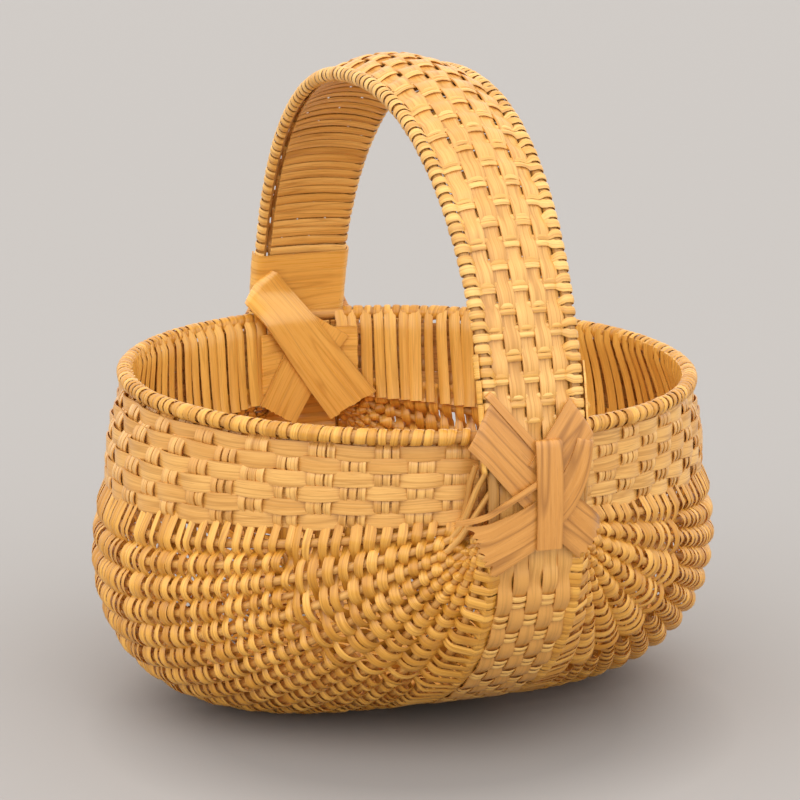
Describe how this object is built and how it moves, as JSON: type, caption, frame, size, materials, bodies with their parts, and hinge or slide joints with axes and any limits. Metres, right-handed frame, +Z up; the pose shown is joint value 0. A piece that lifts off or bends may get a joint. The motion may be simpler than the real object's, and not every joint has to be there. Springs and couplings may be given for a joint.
{
  "type": "buttock basket",
  "caption": "Small two-lobed ribbed splint basket with a woven band under the rim, a fixed arched handle and crossed lashings at the ears, for carrying and storing small things.",
  "frame": {"origin": "middle of the basket on the surface that its two lobes rest on", "axes": "+Z up, Y from ear to ear along the handle, X across the two lobes"},
  "size_m": [0.156, 0.1692, 0.1565],
  "materials": {
    "weaving_splint": "satin",
    "flat_splint": "satin",
    "rod": "satin",
    "lashing_splint": "satin"
  },
  "bodies": {
    "root": {"rim_rod": "rod", "handle_weave": "weaving_splint", "keel_weave": "weaving_splint", "left_hoop_rod": "rod", "right_hoop_rod": "rod", "hoop_splint_1": "flat_splint", "hoop_splint_2": "flat_splint", "hoop_splint_3": "flat_splint", "hoop_splint_4": "flat_splint", "hoop_splint_5": "flat_splint", "left_band_weave": "weaving_splint", "right_band_weave": "weaving_splint", "left_band_splint_1": "flat_splint", "left_band_splint_2": "flat_splint", "left_band_splint_3": "flat_splint", "left_band_splint_4": "flat_splint", "left_band_splint_5": "flat_splint", "left_band_splint_6": "flat_splint", "right_band_splint_1": "flat_splint", "right_band_splint_2": "flat_splint", "right_band_splint_3": "flat_splint", "right_band_splint_4": "flat_splint", "right_band_splint_5": "flat_splint", "right_band_splint_6": "flat_splint", "left_rib_1": "rod", "left_rib_2": "rod", "left_rib_3": "rod", "left_rib_4": "rod", "left_rib_5": "rod", "left_rib_6": "rod", "left_rib_7": "rod", "left_rib_8": "rod", "right_rib_1": "rod", "right_rib_2": "rod", "right_rib_3": "rod", "right_rib_4": "rod", "right_rib_5": "rod", "right_rib_6": "rod", "right_rib_7": "rod", "right_rib_8": "rod", "left_short_ribs": "rod", "right_short_ribs": "rod", "left_weave_outside": "weaving_splint", "right_weave_outside": "weaving_splint", "left_weave_inside": "weaving_splint", "right_weave_inside": "weaving_splint", "front_lashing_rising": "lashing_splint", "front_lashing_falling": "lashing_splint", "front_lashing_tuck": "lashing_splint", "front_lashing_inside": "lashing_splint", "rear_lashing_rising": "lashing_splint", "rear_lashing_falling": "lashing_splint", "rear_lashing_tuck": "lashing_splint", "rear_lashing_inside": "lashing_splint"}
  },
  "joints": []
}
